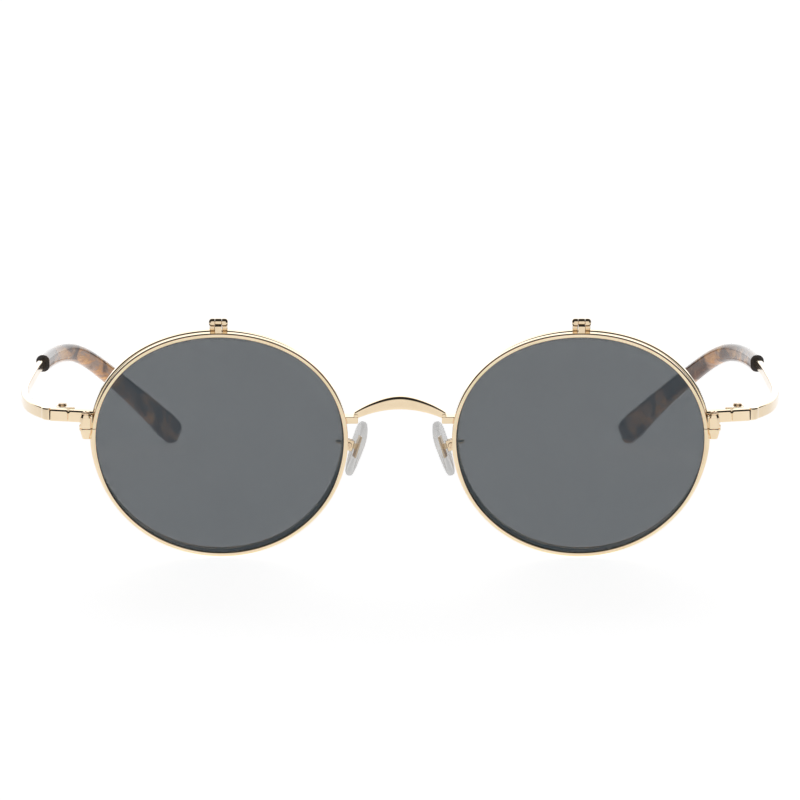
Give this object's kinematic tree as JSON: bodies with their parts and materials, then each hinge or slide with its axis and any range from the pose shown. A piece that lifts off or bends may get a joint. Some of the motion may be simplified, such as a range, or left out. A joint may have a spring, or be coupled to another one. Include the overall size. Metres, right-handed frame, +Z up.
{
  "type": "flip-up sunglasses",
  "caption": "Round wire-frame spectacles with clear lenses, each carrying a tinted lens in its own rim that flips up on a top hinge; folding temples with acetate tips",
  "frame": {"origin": "bottom centre of the open spectacles, on the surface they stand on", "axes": "+X to the wearer's left, +Y back along the temples, +Z up; the lenses face -Y"},
  "size_m": [0.1548, 0.1274, 0.0488],
  "materials": {
    "gold_metal": "polished pale gold plating",
    "gold_screw": "turned and gold plated",
    "steel_pin": "bright",
    "clear_lens": "clear, hard coated",
    "sun_lens": "grey tinted, hard coated",
    "tortoise_acetate": "tumbled tortoiseshell acetate",
    "clear_silicone": "translucent, satin"
  },
  "bodies": {
    "front": {"bridge": "gold_metal", "left_rim": "gold_metal", "left_rim_screw": "gold_screw", "left_clear_lens": "clear_lens", "left_endpiece": "gold_metal", "left_front_hinge": "gold_metal", "left_temple_hinge_screw": "gold_screw", "left_flip_hinge_ears": "gold_metal", "left_flip_pin": "steel_pin", "left_pad_arm": "gold_metal", "left_pad_screw": "gold_screw", "right_rim": "gold_metal", "right_rim_screw": "gold_screw", "right_clear_lens": "clear_lens", "right_endpiece": "gold_metal", "right_front_hinge": "gold_metal", "right_temple_hinge_screw": "gold_screw", "right_flip_hinge_ears": "gold_metal", "right_flip_pin": "steel_pin", "right_pad_arm": "gold_metal", "right_pad_screw": "gold_screw"},
    "left_flip": {"left_flip_rim": "gold_metal", "left_flip_knuckle": "gold_metal", "left_flip_rim_screw": "gold_screw", "left_sun_lens": "sun_lens"},
    "left_temple": {"left_temple_arm": "gold_metal", "left_temple_tip": "tortoise_acetate"},
    "left_pad": {"left_pad_lug": "gold_metal", "left_nose_pad": "clear_silicone"},
    "right_flip": {"right_flip_rim": "gold_metal", "right_flip_knuckle": "gold_metal", "right_flip_rim_screw": "gold_screw", "right_sun_lens": "sun_lens"},
    "right_temple": {"right_temple_arm": "gold_metal", "right_temple_tip": "tortoise_acetate"},
    "right_pad": {"right_pad_lug": "gold_metal", "right_nose_pad": "clear_silicone"}
  },
  "joints": [
    {"name": "left_flip_hinge", "type": "hinge", "parent": "front", "child": "left_flip", "pos_m": [0.0355, -0.06226, 0.04798], "axis": [-1, 0, 0], "range_deg": [0, 95]},
    {"name": "left_temple_fold", "type": "hinge", "parent": "front", "child": "left_temple", "pos_m": [0.0668, -0.05502, 0.02916], "axis": [0, 0, 1], "range_deg": [0, 80]},
    {"name": "left_pad_rock", "type": "hinge", "parent": "front", "child": "left_pad", "pos_m": [0.01038, -0.05178, 0.02184], "axis": [0.1908, 0.9816, 0], "range_deg": [-8, 8]},
    {"name": "right_flip_hinge", "type": "hinge", "parent": "front", "child": "right_flip", "pos_m": [-0.0355, -0.06226, 0.04798], "axis": [-1, 0, 0], "range_deg": [0, 95]},
    {"name": "right_temple_fold", "type": "hinge", "parent": "front", "child": "right_temple", "pos_m": [-0.0668, -0.05502, 0.02916], "axis": [0, 0, -1], "range_deg": [0, 74]},
    {"name": "right_pad_rock", "type": "hinge", "parent": "front", "child": "right_pad", "pos_m": [-0.01038, -0.05178, 0.02184], "axis": [-0.1908, 0.9816, 0], "range_deg": [-8, 8]}
  ]
}
